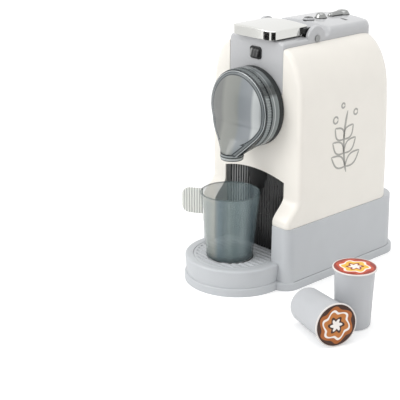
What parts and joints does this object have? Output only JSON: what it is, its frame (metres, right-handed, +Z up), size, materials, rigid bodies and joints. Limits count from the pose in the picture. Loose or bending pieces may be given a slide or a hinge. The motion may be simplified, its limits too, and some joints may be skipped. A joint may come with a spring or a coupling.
{
  "type": "toy coffee maker",
  "caption": "Toy capsule coffee maker: cream shell on a grey base with a drip tray, smoky tank over a cup, chromed lever on top, and capsules beside it.",
  "frame": {"origin": "on the floor under the middle of the machine's base", "axes": "+X to the machine's left as it faces the user, +Y from its front to its back, +Z up"},
  "size_m": [0.2058, 0.2066, 0.2154],
  "materials": {
    "cream_plastic": "satin moulded plastic",
    "grey_plastic": "satin moulded plastic",
    "black_plastic": "satin moulded plastic",
    "chrome_plating": "plated plastic, mirror bright",
    "smoke_plastic": "translucent smoky plastic",
    "dark_smoke_plastic": "translucent smoky plastic, thicker",
    "seal_rubber": "matt soft plastic",
    "steel": "zinc plated",
    "circuit_board": "board with lacquer",
    "cell_wrap": "plain wrapped cell",
    "capsule_plastic": "satin moulded plastic",
    "red_lid": null,
    "brown_lid": null
  },
  "bodies": {
    "machine": {"base_housing": "grey_plastic", "base_cover": "grey_plastic", "battery_door": "grey_plastic", "cell_1": "cell_wrap", "cell_2": "cell_wrap", "cell_3": "cell_wrap", "battery_contact_left": "steel", "battery_contact_right": "steel", "base_screw_1": "steel", "base_screw_2": "steel", "base_screw_3": "steel", "base_screw_4": "steel", "battery_door_screw": "steel", "speaker": "black_plastic", "body_shell": "cream_plastic", "rear_panel": "cream_plastic", "rear_screw_1": "steel", "rear_screw_2": "steel", "rear_screw_3": "steel", "rear_screw_4": "steel", "recess_insert": "black_plastic", "top_spine": "grey_plastic", "lever_pin_left": "steel", "lever_pin_right": "steel", "capsule_holder": "grey_plastic", "lamp_plate": "grey_plastic", "tank_lamp": "smoke_plastic", "power_spring": "steel", "brew_spring": "steel", "control_board": "circuit_board"},
    "lever": {"lever_cap": "chrome_plating", "lever_arm": "black_plastic"},
    "tank": {"tank_face": "smoke_plastic", "tank_drum": "dark_smoke_plastic", "tank_gasket": "seal_rubber", "spout_collar": "smoke_plastic", "tank_screw_1": "steel", "tank_screw_2": "steel", "tank_screw_3": "steel", "tank_screw_4": "steel"},
    "drip_tray": {"drip_grid": "grey_plastic"},
    "cup": {"cup": "smoke_plastic"},
    "power_button": {"power_button": "grey_plastic"},
    "brew_button": {"brew_button": "chrome_plating"},
    "selector": {"selector_knob": "chrome_plating"},
    "front_button": {"front_button": "black_plastic"},
    "capsule_upright": {"capsule_upright": "capsule_plastic", "capsule_upright_lid": "red_lid"},
    "capsule_lying": {"capsule_lying": "capsule_plastic", "capsule_lying_lid": "brown_lid"}
  },
  "joints": [
    {"name": "lever_hinge", "type": "hinge", "parent": "machine", "child": "lever", "pos_m": [0, 0.005, 0.2035], "axis": [-1, 0, 0], "range_deg": [0, 85]},
    {"name": "tank_slide", "type": "slide", "parent": "machine", "child": "tank", "axis": [0, -1, 0], "range_m": [0, 0.04]},
    {"name": "drip_tray_lift", "type": "slide", "parent": "machine", "child": "drip_tray", "axis": [0, 0, 1], "range_m": [0, 0.012]},
    {"name": "cup_lift", "type": "slide", "parent": "drip_tray", "child": "cup", "axis": [0, 0, 1], "range_m": [0, 0.012]},
    {"name": "power_press", "type": "slide", "parent": "machine", "child": "power_button", "axis": [0, 0, -1], "range_m": [0, 0.0015], "stiffness_N_per_m": 150, "springref_m": -0.0006, "deforming": ["power_spring"]},
    {"name": "brew_press", "type": "slide", "parent": "machine", "child": "brew_button", "axis": [0, 0, -1], "range_m": [0, 0.0015], "stiffness_N_per_m": 150, "springref_m": -0.0006, "deforming": ["brew_spring"]},
    {"name": "selector_turn", "type": "hinge", "parent": "machine", "child": "selector", "pos_m": [0, 0.0705, 0.21], "axis": [0, 0, 1], "range_deg": [-45, 45]},
    {"name": "front_press", "type": "slide", "parent": "machine", "child": "front_button", "axis": [0, 1, 0], "range_m": [0, 0.0008], "stiffness_N_per_m": 150, "springref_m": -0.0006},
    {"name": "capsule_upright_lift", "type": "slide", "parent": "machine", "child": "capsule_upright", "axis": [0, 0, 1], "range_m": [0, 0.06]},
    {"name": "capsule_lying_lift", "type": "slide", "parent": "machine", "child": "capsule_lying", "axis": [-0.2012, -0.5657, 0.7997], "range_m": [0, 0.06]}
  ]
}
